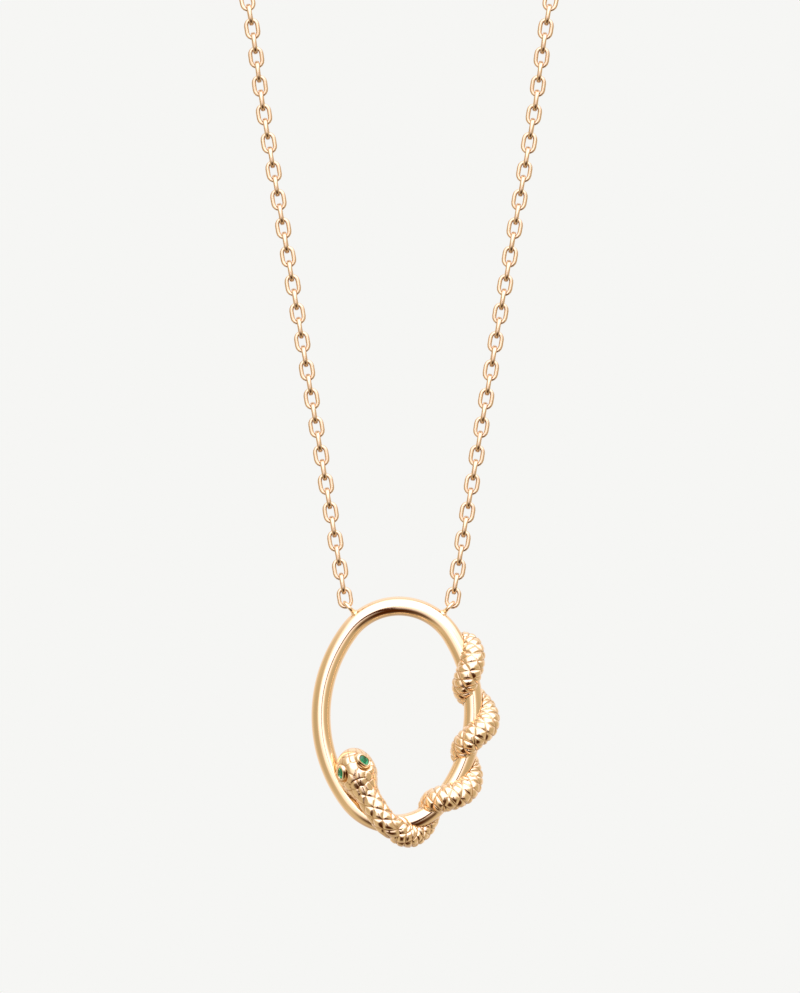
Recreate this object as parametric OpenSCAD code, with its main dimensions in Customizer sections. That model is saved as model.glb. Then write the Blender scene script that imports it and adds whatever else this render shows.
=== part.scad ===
/* [Oval ring] */
// Radius of the oval's upper end, to the middle of its wire
ring_top_r = 5.95; // [5.85:0.05:6.05]
// Thickness of the ring's round wire
ring_wire = 1.84; // [1.76:0.02:1.88]

/* [Eyelets and links] */
// Radius of an eyelet, to the middle of its wire
eyelet_r = 0.6; // [0.58:0.01:0.64]
// Thickness of an eyelet's wire
eyelet_wire = 0.38; // [0.34:0.01:0.4]
// Place of an eyelet on the ring, in degrees above the ring's right side
eyelet_place = 51; // [50:0.1:52]
// Lean of an eyelet, in degrees above level
eyelet_lean = 47; // [46:0.5:48]
// Outer width of a link
link_w = 1.5; // [1.46:0.01:1.54]
// Outer length of a link
link_l = 2.13; // [2.1:0.01:2.2]
// Thickness of a link's wire
link_wire = 0.38; // [0.34:0.01:0.4]

/* [Snake] */
// Length of one scale along the back
scale_l = 1.28; // [1.2:0.02:1.4]
// Height of a scale above the creases round it
scale_h = 0.14; // [0.08:0.01:0.2]
// Half width of the head at its widest
head_half_w = 1.94; // [1.86:0.01:1.98]
// Height of a plate on the head above the creases round it
plate_h = 0.07; // [0.03:0.01:0.1]

/* [Eyes] */
// Length of an eye stone
stone_l = 1.14; // [1.08:0.01:1.16]
// Width of an eye stone
stone_w = 0.64; // [0.6:0.01:0.66]
// Wall of the collar that holds a stone
collar_wall = 0.12; // [0.1:0.01:0.14]
// Angle of an eye from the crown of the head
eye_angle = 46; // [44:1:48]
// Slant of a stone's length from the length of the head, its front end to the middle
eye_slant = 38; // [25:1:50]

/* [Chain and clasp] */
// Height of the nape above the line on which the pendant swings
drop = 103; // [102:0.5:104]
// Distance from the nape forward to the pendant
reach = 108; // [107:0.5:109]
// Radius of the clasp's ring, to the middle of its wire
clasp_r = 2; // [1.9:0.1:2.2]
// Thickness of the clasp's wire
clasp_wire = 0.9; // [0.8:0.05:1]

/* [Hidden] */
$fn = 64;
gold = "#d9a860";
rose_gold = "#dba26f";
green = "#1d8a4c";

// Running clearances between pieces that touch on the real object
seat_gap = 0.14;
link_gap = 0.11;
stone_gap = 0.03;

// The oval leans a little to one side. It is four arcs: two ends and two long sides of one radius.
// Each join lies on a slope that is the long side of a whole-number right triangle, so that the
// centres of the arcs have short numbers: 3-4-5 on the left, 336-527-625 on the upper right and
// 10296-11753-15625 on the lower right. Centres are x and z in the ring's frame.
wire_r = ring_wire / 2;
left_join = [4, 3];
top_join = [5.27, 3.36];
low_join = [11.753, 10.296];
side_more_top = 7.675;
side_more_low = 8.125;
top_c = [0, 4.6];
side_r = ring_top_r + side_more_top;
low_r = side_r - side_more_low;
right_c = top_c - side_more_top * top_join / norm(top_join);
low_c = right_c + side_more_low * [low_join[0], -low_join[1]] / norm(low_join);
left_c = low_c + side_more_low * left_join / norm(left_join);
left_angle = atan2(left_join[1], left_join[0]);
top_angle = atan2(top_join[1], top_join[0]);
low_angle = atan2(low_join[1], low_join[0]);

// Eyelet, the link that hangs in it and the swing axis, all on the right side of the ring
eyelet_wire_r = eyelet_wire / 2;
link_wire_r = link_wire / 2;
lean_dir = [cos(eyelet_lean), 0, sin(eyelet_lean)];
eyelet_sink = 0.08;
solder_foot_r = 0.5;
solder_h = 0.3;
solder_sink = 0.3;
eyelet_foot = [0, 0, top_c[1]] + (ring_top_r + wire_r) * [cos(eyelet_place), 0, sin(eyelet_place)];
eyelet_c = eyelet_foot + (eyelet_r + eyelet_wire_r - eyelet_sink) * lean_dir;
crossing = eyelet_c + (eyelet_r - eyelet_wire_r - link_wire_r - link_gap) * lean_dir;
link_bend_r = link_w / 2 - link_wire_r;
link_half = (link_l - link_w) / 2;
link_turn = 243;
chain_tilt = 9.55;
chain_dir = [sin(chain_tilt), 0, cos(chain_tilt)];
low_bend_c = crossing - link_bend_r * [cos(link_turn), 0, sin(link_turn)];
end_link_c = low_bend_c + link_half * chain_dir;
axis_below_crossing = 0.04;
axis_z = crossing[2] - axis_below_crossing;
pendant_place = [0, -reach, -drop - axis_z];

// Winding of the snake round the wire: turned angle, place on the oval in degrees, body radius, and
// how far the loop hangs outward. The turned angle is 0 on the outer side of the wire, 90 in front,
// 180 inside and 270 behind.
winding = [
    [-90, 29.5, 0.85, 0.1],
    [0, 24.6, 1.14, 0.15],
    [90, 16.4, 1.29, 0.2],
    [180, 9.4, 1.27, 0.33],
    [270, 4, 1.22, 0.35],
    [360, -3.4, 1.29, 0.35],
    [450, -9.3, 1.31, 0.4],
    [540, -16.2, 1.27, 0.5],
    [630, -21.6, 1.2, 0.4],
    [720, -28.3, 1.27, 0.4],
    [810, -35.8, 1.36, 0.42],
    [900, -43.5, 1.27, 0.44],
    [990, -57.5, 1.16, 0.3],
    [1080, -76, 1.22, 0.26],
    [1170, -87.8, 1.3, 0.35],
];
wind_from = -90;
wind_to = 1170;
wind_step = 15;
wind_r = 0.95;

// Neck and head, from the last crossing of the wire to the snout: x, y, z in the ring's frame
neck = [
    [-0.95, -1.54, -10.44],
    [-1.74, -1.75, -9.6],
    [-2.36, -1.8, -8.65],
    [-3, -1.65, -7.6],
    [-3.6, -1.42, -6.4],
    [-4.02, -1.32, -5.4],
    [-4.37, -1.34, -4.45],
    [-4.64, -1.42, -3.7],
    [-4.85, -1.5, -3.12],
];
neck_r = 1.2;
head_l = 5.25;
widest_at = 2.6;
crown_h = 1.92;
highest_at = 2.1;
eyes_at = 1.69;
eyes_apart = 0.48;
head_roll = 10;
jaw_share = 0.76;
front = [0, -1, 0];
crown_dir = cos(head_roll) * front - sin(head_roll) * unit([4, 0, 1]);
neck_blend = 1.5;
plate_l = 2.3;
plates_round = 4;
tail_l = 1.2;

// Scales round the body, fewer in the loops than on the neck, which start behind the wire. Each scale
// has as many points round the body as rings along it. Those of the loops are shifted by one ring.
loop_scales = 4;
loop_shift = 0.2;
neck_scales = 5;
neck_scales_turn = 990;
round_n = 20;
track_step = 0.2;

// Least wall of the snake between the wire and its back
least_wall = 0.3;

// Eye settings and stones
setting_seat = 1.56;
seat_r = 1.2;
seat_h = 0.13;
collar_h = 0.27;
ledge = 0.07;
girdle_z = 0.19;
girdle_h = 0.04;
table_z = 0.34;
table_share = 0.62;
culet_z = 0.02;
culet_share = 0.12;
stone_sides = 16;
stone_power = 2.6;

// Route of the right half of the chain from the end link to the nape: x, y, z from the nape
route = [
    [10.03, -108, -73.1],
    [12.83, -108, -56.5],
    [15.27, -108, -42],
    [21, -105, -29],
    [31.5, -96, -19.5],
    [42.5, -80, -14],
    [49, -61, -10],
    [50, -41, -7],
    [42.5, -20.5, -4],
    [27, -6, -1.5],
    [10, -0.6, 0],
];
chain_sides = 8;
chain_rings = 40;
chain_from_link = 0.3;
chain_step = 0.05;
chain_sag_dir = [0, 1, 0.35];

// Clasp: a plain ring with an eye on each side
clasp_eye_r = 0.6;
clasp_eye_wire_r = 0.2;
clasp_eye_sink = 0.1;
clasp_end = clasp_r + clasp_wire / 2 + 2 * (clasp_eye_r + clasp_eye_wire_r) - clasp_eye_sink;
chain_end = [clasp_end + seat_gap, 0, 0];

function unit(v) = v / norm(v);

// Smooth row between the rows of a table, at a fractional row number t
function smooth_row(rows, t) =
    let (last = len(rows) - 1, i = max(0, min(floor(t), last - 1)), f = t - i)
    let (a = rows[max(i - 1, 0)], b = rows[i], c = rows[i + 1], d = rows[min(i + 2, last)])
    b + f * ((c - a) / 2 + f * ((a - 2.5 * b + 2 * c - 0.5 * d) + f * ((d - a) / 2 + 1.5 * (b - c))));

// Length run along a line of points, at each point
function runs(p) =
    [for (i = 0, s = 0; i < len(p); s = s + (i + 1 < len(p) ? norm(p[i + 1] - p[i]) : 0), i = i + 1) s];

// Arc of the oval whose outward direction is the angle a: its centre and radius
function oval_arc_to(a) =
    a > 180 - left_angle || a < left_angle - 180 ? concat(left_c, side_r)
        : a > top_angle ? concat(top_c, ring_top_r)
        : a > -low_angle ? concat(right_c, side_r) : concat(low_c, low_r);

// Point of the oval's middle line where its outward direction is the angle a
function oval_point(a) =
    let (arc = oval_arc_to(a))
    [arc[0] + arc[2] * cos(a), 0, arc[1] + arc[2] * sin(a)];

// Arc of the oval nearest to p
function oval_arc_at(p) =
    let (right_a = atan2(p[2] - right_c[1], p[0] - right_c[0]))
    let (left_a = atan2(p[2] - left_c[1], left_c[0] - p[0]))
    right_a < top_angle && right_a > -low_angle ? concat(right_c, side_r)
        : abs(left_a) < left_angle ? concat(left_c, side_r)
        : p[2] > 0 ? concat(top_c, ring_top_r) : concat(low_c, low_r);

// Outward direction of the oval next to p
function oval_out(p) =
    let (arc = oval_arc_at(p), n = unit([p[0] - arc[0], p[2] - arc[1]]))
    [n[0], 0, n[1]];

// Point of the oval's middle line nearest to p
function oval_near(p) =
    let (arc = oval_arc_at(p))
    [arc[0], 0, arc[1]] + arc[2] * oval_out(p);

// Point p lifted along up until it is the distance clear from the wire's middle line, which passes q
function lifted(p, up, q, clear) =
    let (t = cross(oval_out(q), front), w = p - q - ((p - q) * t) * t, u = up - (up * t) * t)
    let (a = u * u, b = w * u, c = w * w - clear * clear)
    c >= 0 || b * b < a * c ? p : p + up * ((sqrt(b * b - a * c) - b) / a);

// Point p pushed straight away from the wire's middle line, where it is nearer than clear
function pushed(p, clear) =
    let (q = oval_near(p), d = norm(p - q))
    d < clear ? q + (p - q) * (clear / d) : p;

// Rows of the snake's track: place, direction of its back, and body radius
function wind_row(turn) =
    let (w = smooth_row(winding, (turn - winding[0][0]) / 90), q = oval_point(w[1]))
    let (out = [cos(w[1]), 0, sin(w[1])], back = cos(turn) * out + sin(turn) * front)
    concat(q + wind_r * back + w[3] * out, back, w[2]);
function neck_row(i) =
    let (f = min(1, i / 4))
    concat(neck[i], unit((1 - f) * front + f * crown_dir), neck_r);
track = concat([for (a = [wind_from : wind_step : wind_to]) wind_row(a)],
               [for (i = [0 : len(neck) - 1]) neck_row(i)]);
fine_track = [for (t = [0 : track_step : len(track) - 1]) smooth_row(track, t)];
track_runs = runs([for (r = fine_track) [r[0], r[1], r[2]] + r[6] * [r[3], r[4], r[5]]]);
track_l = track_runs[len(track_runs) - 1];
track_table = [for (i = [0 : len(track_runs) - 1]) [track_runs[i], i * track_step]];
neck_scales_from = track_runs[round((neck_scales_turn - wind_from) / wind_step / track_step)];
neck_scales_row = round(neck_scales_from / scale_l);
function track_at(s) = smooth_row(track, lookup(s, track_table));
function track_point(s) = let (r = track_at(s)) [r[0], r[1], r[2]];

// Frame of the track at the length s along the back: place, forward, back and side directions, radius
function track_frame(s) =
    let (r = track_at(s), ahead = 0.05)
    let (fwd = unit(track_point(min(s + ahead, track_l)) - track_point(max(s - ahead, 0))))
    let (raw = [r[3], r[4], r[5]], back = unit(raw - (raw * fwd) * fwd))
    [[r[0], r[1], r[2]], fwd, back, cross(fwd, back), r[6]];

// Profile of the head at the distance d behind the snout: it swells to full at full_at behind the
// snout and falls to the neck's radius
function head_line(d, full, full_at) =
    let (fall = min(1, (d - full_at) / (head_l - full_at)))
    d < full_at ? full * sqrt(1 - pow(1 - d / full_at, 2.2))
        : neck_r + (full - neck_r) * (1 + cos(180 * fall)) / 2;

// Rounding of the tail's end at the length s
function tail_share(s) = s < tail_l ? sqrt(1 - pow(1 - s / tail_l, 2)) : 1;

// Height of a four-sided scale at the lattice place (u round the body, v along it), from 0 to 1
function cell(u, v) =
    let (p = 2 * (u + v - floor(u + v)) - 1, q = 2 * (u - v - floor(u - v)) - 1)
    1 - pow(max(abs(p), abs(q)), 2);

// Height of the scales at the length s and the angle a: those of the loops fade into those of the neck
function scales(s, a) =
    let (v = s / scale_l, f = max(0, min(1, v - neck_scales_row + 0.5)))
    (1 - f) * cell(a * loop_scales / 360, v + loop_shift) + f * cell(a * neck_scales / 360, v);

// Surface point of the snake at the length s and the angle a from its back
function skin_point(s, a) =
    let (f = track_frame(s), d = track_l - s, on_head = d < head_l)
    let (headness = on_head ? min(1, (head_l - d) / neck_blend) : 0)
    let (half_w = on_head ? head_line(d, head_half_w, widest_at) : f[4] * tail_share(s))
    let (share = on_head && cos(a) > 0 ? head_line(d, crown_h, highest_at) / half_w
                                       : 1 + headness * (jaw_share - 1))
    let (scale_relief = scale_h * (scales(s, a) - 1) * tail_share(s))
    let (plate_relief = plate_h * (cell(a * plates_round / 360, d / plate_l + 0.25) - 1) * min(1, d))
    let (relief = (1 - headness) * scale_relief + headness * plate_relief)
    let (raw = f[0] + (half_w + relief) * (share * cos(a) * f[2] + sin(a) * f[3]))
    let (flat = on_head ? flattened(raw, d) : raw)
    let (clear = wire_r + seat_gap + least_wall * (1 + cos(a)) / 2)
    pushed(lifted(flat, f[2], oval_near(f[0]), clear), clear);

// Frame of the eye on one side, from its place on the head's middle line, and the way it looks. The
// right eye lies a little nearer to the snout.
left_eye = track_frame(track_l - eyes_at - eyes_apart / 2);
right_eye = track_frame(track_l - eyes_at + eyes_apart / 2);
function eye_frame(way) = way > 0 ? right_eye : left_eye;
function eye_dir(way) =
    let (f = eye_frame(way))
    cos(eye_angle) * f[2] + way * sin(eye_angle) * f[3];

// Point p of the head cut back to the flat seats of the eye settings
function cut_to(p, way) =
    let (dir = eye_dir(way), w = p - eye_frame(way)[0], over = w * dir - setting_seat)
    over > 0 && norm(w - (w * dir) * dir) < seat_r ? p - over * dir : p;
function flattened(p, d) = d < 2 * eyes_at + seat_r ? cut_to(cut_to(p, 1), -1) : p;

// Closed surface through rings of points, each with n points, with a fan at each end
module skin(rings) {
    n = len(rings[0]);
    last = len(rings) - 1;
    points = [for (ring = rings) each ring];
    tips = [for (r = [rings[0], rings[last]]) [for (k = [0 : 2]) [for (p = r) p[k]] * [for (p = r) 1 / n]]];
    sides = [for (i = [0 : last - 1]) for (j = [0 : n - 1])
        let (k = (j + 1) % n, a = i * n + j, b = i * n + k, c = a + n, d = b + n)
        each ((i + j) % 2 == 0 ? [[a, d, b], [a, c, d]] : [[a, c, b], [b, c, d]])];
    start = [for (j = [0 : n - 1]) [len(points), j, (j + 1) % n]];
    end = [for (j = [0 : n - 1]) [len(points) + 1, last * n + (j + 1) % n, last * n + j]];
    polyhedron(points = concat(points, tips), faces = concat(sides, start, end));
}

// Round bar bent in an arc about the Y axis, from angle a over the angle turn
module arc_bar(bend_r, bar_r, a, turn) {
    rotate([90, -a, 0])
        mirror([0, 0, 1])
            rotate_extrude(angle = turn, $fn = 96)
                translate([bend_r, 0])
                    circle(r = bar_r, $fn = 32);
}

// Part of the oval's round wire bent about the Y axis at c, between two far points seen from c
module oval_arc(c, bend_r, from, to) {
    translate([c[0], 0, c[1]])
        intersection() {
            arc_bar(bend_r, wire_r, 0, 360);
            rotate([90, 0, 0])
                linear_extrude(height = 2 * ring_wire, center = true)
                    polygon([[0, 0], from, to]);
        }
}

// Ring of round wire whose plane holds the Y axis and the direction at the angle lean above X
module wire_loop(loop_r, bar_r, lean) {
    rotate([0, -lean, 0])
        rotate_extrude($fn = 96)
            translate([loop_r, 0])
                circle(r = bar_r, $fn = 32);
}

// Eyelet with the small cone of solder that joins it to the ring
module placed_eyelet() {
    union() {
        translate(eyelet_c)
            wire_loop(eyelet_r, eyelet_wire_r, eyelet_lean);
        translate(eyelet_foot)
            rotate([0, 90 - eyelet_lean, 0])
                translate([0, 0, -solder_sink])
                    cylinder(r1 = solder_foot_r, r2 = eyelet_wire_r, h = solder_h + solder_sink, $fn = 48);
    }
}

module ring() {
    up_left = 6 * [-left_join[0], left_join[1]];
    up_right = 4 * top_join;
    down_right = 2 * [low_join[0], -low_join[1]];
    color(gold)
        translate(pendant_place)
            union() {
                oval_arc(top_c, ring_top_r, up_right, up_left);
                oval_arc(right_c, side_r, down_right, up_right);
                oval_arc(low_c, low_r, -6 * left_join, down_right);
                oval_arc(left_c, side_r, up_left, -6 * left_join);
                placed_eyelet();
                mirror([1, 0, 0]) placed_eyelet();
            }
}

module snake() {
    loop_step = scale_l * loop_scales / round_n;
    neck_step = scale_l * neck_scales / round_n;
    from = neck_scales_row * scale_l;
    tip = 0.02;
    snout = [0.13, 0.03];
    count = floor((track_l - snout[0] - neck_step / 2 - from) / neck_step);
    stations = concat([tip], [for (s = [loop_step : loop_step : from - loop_step / 2]) s],
                      [for (i = [0 : count]) from + i * neck_step], [for (d = snout) track_l - d]);
    color(gold)
        translate(pendant_place)
            skin([for (s = stations) [for (j = [0 : round_n - 1]) skin_point(s, j * 360 / round_n)]]);
}

// Outline of a stone that is long_r by short_r from its middle, as a polygon's points
function stone_outline(long_r, short_r) =
    [for (j = [0 : stone_sides - 1])
        let (a = (j + 0.5) * 360 / stone_sides, c = cos(a), s = sin(a))
        let (k = pow(pow(abs(c), stone_power) + pow(abs(s), stone_power), -1 / stone_power))
        [long_r * k * c, short_r * k * s]];

// What follows, put on the seat of the eye on one side, with its length slanting along the head
module on_eye(way) {
    f = eye_frame(way);
    z = eye_dir(way);
    ahead = unit(f[1] - (f[1] * z) * z);
    x = cos(eye_slant) * ahead + way * sin(eye_slant) * cross(z, ahead);
    y = cross(z, x);
    o = f[0] + (setting_seat + stone_gap) * z;
    translate(pendant_place)
        multmatrix([[x[0], y[0], z[0], o[0]], [x[1], y[1], z[1], o[1]], [x[2], y[2], z[2], o[2]]])
            children();
}

// Slab with the stone's outline grown outward
module stone_slab(high, grow) {
    linear_extrude(height = high)
        polygon(stone_outline(stone_l / 2 + grow, stone_w / 2 + grow));
}

module eye_setting(way) {
    color(gold)
        on_eye(way)
            difference() {
                stone_slab(collar_h, stone_gap + collar_wall);
                translate([0, 0, seat_h]) stone_slab(collar_h, stone_gap);
                translate([0, 0, -seat_h]) stone_slab(3 * seat_h, -ledge);
            }
}

module eye_stone(way) {
    color(green)
        on_eye(way)
            hull() {
                translate([0, 0, girdle_z]) stone_slab(girdle_h, 0);
                translate([0, 0, table_z - girdle_h])
                    linear_extrude(height = girdle_h)
                        polygon(table_share * stone_outline(stone_l / 2, stone_w / 2));
                translate([0, 0, culet_z])
                    linear_extrude(height = girdle_h)
                        polygon(culet_share * stone_outline(stone_l / 2, stone_w / 2));
            }
}

module end_link() {
    color(rose_gold)
        translate(pendant_place)
            translate(end_link_c)
                rotate([0, chain_tilt, 0])
                    union() {
                        translate([0, 0, link_half]) arc_bar(link_bend_r, link_wire_r, 0, 180);
                        translate([0, 0, -link_half]) arc_bar(link_bend_r, link_wire_r, 180, 180);
                        for (side = [-1, 1])
                            translate([side * link_bend_r, 0, -link_half])
                                cylinder(r = link_wire_r, h = 2 * link_half, $fn = 32);
                    }
}

// Right half of the chain as a plain bar of the links' width, swept along the route
chain_start = pendant_place + end_link_c + (link_l / 2 + chain_from_link) * chain_dir;
chain_track = concat([chain_start], route, [chain_end]);
chain_fine = [for (t = [0 : chain_step : len(chain_track) - 1]) smooth_row(chain_track, t)];
chain_runs = runs(chain_fine);
chain_l = chain_runs[len(chain_runs) - 1];
chain_table = [for (i = [0 : len(chain_runs) - 1]) [chain_runs[i], i * chain_step]];
function chain_point(s) = smooth_row(chain_track, lookup(s, chain_table));

module half_chain() {
    color(rose_gold)
        skin([for (i = [0 : chain_rings - 1])
            let (s = i * chain_l / (chain_rings - 1), p = chain_point(s))
            let (ahead = 0.1)
            let (fwd = unit(chain_point(min(s + ahead, chain_l)) - chain_point(max(s - ahead, 0))))
            let (side = unit(cross(fwd, chain_sag_dir)), up = cross(fwd, side))
            [for (j = [0 : chain_sides - 1])
                let (a = j * 360 / chain_sides)
                p + link_w / 2 * (cos(a) * side + sin(a) * up)]]);
}

module clasp() {
    color(rose_gold)
        union() {
            arc_bar(clasp_r, clasp_wire / 2, 0, 360);
            for (side = [-1, 1])
                translate([side * (clasp_end - clasp_eye_r - clasp_eye_wire_r), 0, 0])
                    rotate_extrude($fn = 96)
                        translate([clasp_eye_r, 0])
                            circle(r = clasp_eye_wire_r, $fn = 32);
        }
}

ring();
snake();
eye_setting(-1);  // eye_setting_left
eye_setting(1);  // eye_setting_right
eye_stone(-1);  // eye_stone_left
eye_stone(1);  // eye_stone_right
mirror([1, 0, 0]) end_link();  // end_link_left
end_link();  // end_link_right
mirror([1, 0, 0]) half_chain();  // chain_left
half_chain();  // chain_right
clasp();
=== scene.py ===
import math

import bpy
import numpy as np
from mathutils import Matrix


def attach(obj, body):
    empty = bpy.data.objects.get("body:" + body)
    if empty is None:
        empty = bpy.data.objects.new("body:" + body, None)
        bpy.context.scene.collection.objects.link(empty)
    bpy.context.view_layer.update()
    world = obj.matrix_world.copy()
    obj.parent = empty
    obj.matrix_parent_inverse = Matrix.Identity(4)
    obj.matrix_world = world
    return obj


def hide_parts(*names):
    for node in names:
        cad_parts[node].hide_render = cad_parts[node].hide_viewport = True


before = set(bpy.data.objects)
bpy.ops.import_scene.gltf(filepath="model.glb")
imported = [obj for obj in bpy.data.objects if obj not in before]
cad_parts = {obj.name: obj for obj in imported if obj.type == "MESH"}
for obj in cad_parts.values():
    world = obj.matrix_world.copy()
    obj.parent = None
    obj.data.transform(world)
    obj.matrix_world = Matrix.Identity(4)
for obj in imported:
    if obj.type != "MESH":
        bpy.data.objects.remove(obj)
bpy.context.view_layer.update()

MM = 0.001

# Camera
# The frame is 800 x 993 points of 0.096 mm at the pendant's distance.
POINT = 0.096
FRAME_W = 800
VIEW_X = 0.101
VIEW_Z = -92.43
PENDANT_Y = -108.0
CAMERA_AWAY = 1200.0
SENSOR = 36.0
NEAREST_M = 0.01
FARTHEST_M = 20

camera_data = bpy.data.cameras.new("camera")
camera_data.sensor_fit = "HORIZONTAL"
camera_data.sensor_width = SENSOR
camera_data.lens = SENSOR * CAMERA_AWAY / (POINT * FRAME_W)
camera_data.clip_start = NEAREST_M
camera_data.clip_end = FARTHEST_M
camera = bpy.data.objects.new("camera", camera_data)
camera.location = (VIEW_X * MM, (PENDANT_Y - CAMERA_AWAY) * MM, VIEW_Z * MM)
camera.rotation_euler = (math.pi / 2, 0, 0)
bpy.context.scene.collection.objects.link(camera)
bpy.context.scene.camera = camera
bpy.context.scene.view_settings.view_transform = "Standard"


# Helpers for vectors and lines
def unit(v):
    v = np.asarray(v, float)
    return v / np.linalg.norm(v, axis=-1, keepdims=True)


def dot(a, b):
    return np.sum(a * b, axis=-1, keepdims=True)


def lean_at(angle):
    """Direction in the picture's plane, in degrees above the right."""
    return np.array([math.cos(math.radians(angle)), 0, math.sin(math.radians(angle))])


def circle(n):
    """Angles of n even steps round a circle."""
    return np.linspace(0, 2 * np.pi, n, endpoint=False)


def smooth_rows(rows, t):
    """Smooth row between the rows of a table, at fractional row numbers t."""
    rows = np.asarray(rows, float)
    t = np.atleast_1d(np.asarray(t, float))
    last = len(rows) - 1
    i = np.clip(np.floor(t).astype(int), 0, last - 1)
    f = (t - i)[:, None]
    a = rows[np.maximum(i - 1, 0)]
    b = rows[i]
    c = rows[i + 1]
    d = rows[np.minimum(i + 2, last)]
    second = a - 2.5 * b + 2 * c - 0.5 * d
    third = (d - a) / 2 + 1.5 * (b - c)
    return b + f * ((c - a) / 2 + f * (second + f * third))


def fine_rows(rows, count):
    """A table's smooth rows, count of them from its first row to its last."""
    return smooth_rows(rows, np.linspace(0, len(rows) - 1, count))


def runs(points):
    """Length run along a line of points, at each point."""
    steps = np.linalg.norm(np.diff(points, axis=0), axis=1)
    return np.concatenate([[0.0], np.cumsum(steps)])


def smoothstep(lo, hi, x):
    """Soft step from 0 at lo to 1 at hi."""
    t = np.clip((x - lo) / (hi - lo), 0, 1)
    return t * t * (3 - 2 * t)


# Sizes in mm, shared with the solids, but for CROWN_FALL, SEAT_GAP and ROUTE_STEP, which are of the looks
# The pendant is made in the ring's frame, and PENDANT is the place of that frame's origin.
FRONT = np.array([0.0, -1.0, 0.0])

# The oval leans a little and is four arcs, which join on slopes. Centres and slopes are x and z.
WIRE_R = 0.92
TOP_R = 5.95
SIDE_MORE_TOP = 7.675
SIDE_MORE_LOW = 8.125
LEFT_SLOPE = (4, 3)
TOP_SLOPE = (5.27, 3.36)
LOW_SLOPE = (11.753, 10.296)
SIDE_R = TOP_R + SIDE_MORE_TOP
LOW_R = SIDE_R - SIDE_MORE_LOW
TOP_C = np.array([0, 4.6])
RIGHT_C = TOP_C - SIDE_MORE_TOP * unit(TOP_SLOPE)
LOW_C = RIGHT_C + SIDE_MORE_LOW * unit([LOW_SLOPE[0], -LOW_SLOPE[1]])
LEFT_C = LOW_C + SIDE_MORE_LOW * unit(LEFT_SLOPE)
LEFT_JOIN = math.degrees(math.atan2(LEFT_SLOPE[1], LEFT_SLOPE[0]))
TOP_JOIN = math.degrees(math.atan2(TOP_SLOPE[1], TOP_SLOPE[0]))
LOW_JOIN = math.degrees(math.atan2(LOW_SLOPE[1], LOW_SLOPE[0]))

# Eyelet on the right side and the link that hangs in it, angles in degrees
EYELET_R = 0.6
EYELET_WIRE_R = 0.19
EYELET_PLACE = 51
EYELET_LEAN = 47
EYELET_SINK = 0.08
LINK_W = 1.5
LINK_L = 2.13
LINK_WIRE_R = 0.19
LINK_GAP = 0.11
LINK_TURN = 243
CHAIN_TILT = 9.55
DROP = 103
AXIS_BELOW_CROSSING = 0.04
EYELET_DIR = lean_at(EYELET_LEAN)
EYELET_FOOT = np.array([0, 0, TOP_C[1]]) + (TOP_R + WIRE_R) * lean_at(EYELET_PLACE)
EYELET_C = EYELET_FOOT + (EYELET_R + EYELET_WIRE_R - EYELET_SINK) * EYELET_DIR
CROSSING = EYELET_C + (EYELET_R - EYELET_WIRE_R - LINK_WIRE_R - LINK_GAP) * EYELET_DIR
CHAIN_UP = lean_at(90 - CHAIN_TILT)
LOW_BEND_C = CROSSING - (LINK_W / 2 - LINK_WIRE_R) * lean_at(LINK_TURN)
END_LINK_C = LOW_BEND_C + (LINK_L - LINK_W) / 2 * CHAIN_UP
PENDANT = np.array([0.0, PENDANT_Y, -DROP - CROSSING[2] + AXIS_BELOW_CROSSING])

# Winding of the snake round the wire: turned angle, place on the oval in degrees, body radius, and how
# far the loop hangs outward. The turned angle is 0 on the outer side of the wire, 90 in front, 180
# inside and 270 behind.
WINDING = [
    (-90, 29.5, 0.85, 0.1), (0, 24.6, 1.14, 0.15), (90, 16.4, 1.29, 0.2), (180, 9.4, 1.27, 0.33),
    (270, 4, 1.22, 0.35), (360, -3.4, 1.29, 0.35), (450, -9.3, 1.31, 0.4), (540, -16.2, 1.27, 0.5),
    (630, -21.6, 1.2, 0.4), (720, -28.3, 1.27, 0.4), (810, -35.8, 1.36, 0.42), (900, -43.5, 1.27, 0.44),
    (990, -57.5, 1.16, 0.3), (1080, -76, 1.22, 0.26), (1170, -87.8, 1.3, 0.35),
]
WINDING_EVERY = 90
WIND_STEP = 15
WIND_R = 0.95
TRACK_STEP = 0.2

# Neck and head, from the last crossing of the wire to the snout: x, y, z in the ring's frame. The back
# turns from the front to the crown's own direction over the first rows.
NECK = [
    (-0.95, -1.54, -10.44), (-1.74, -1.75, -9.6), (-2.36, -1.8, -8.65), (-3, -1.65, -7.6),
    (-3.6, -1.42, -6.4), (-4.02, -1.32, -5.4), (-4.37, -1.34, -4.45), (-4.64, -1.42, -3.7),
    (-4.85, -1.5, -3.12),
]
NECK_TURNED_BY = 4
NECK_R = 1.2
NECK_BLEND = 1.5
HEAD_L = 5.25
HEAD_HALF_W = 1.94
WIDEST_AT = 2.6
SNOUT_POWER = 2.2
CROWN_H = 1.92
HIGHEST_AT = 2.1
CROWN_FALL = 1.3
HEAD_SIDE = unit([4, 0, 1])
HEAD_ROLL = 10.0
JAW_SHARE = 0.76
TAIL_L = 1.2
SEAT_GAP = 0.03

# Eyes: places behind the snout and round the head, slant, and the height of a collar's seat
EYES_AT = 1.69
EYES_APART = 0.48
EYE_ANGLE = 46.0
EYE_SLANT = 38.0
SETTING_SEAT = 1.56
STONE_L = 1.14
STONE_W = 0.64
STONE_POWER = 2.6

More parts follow.
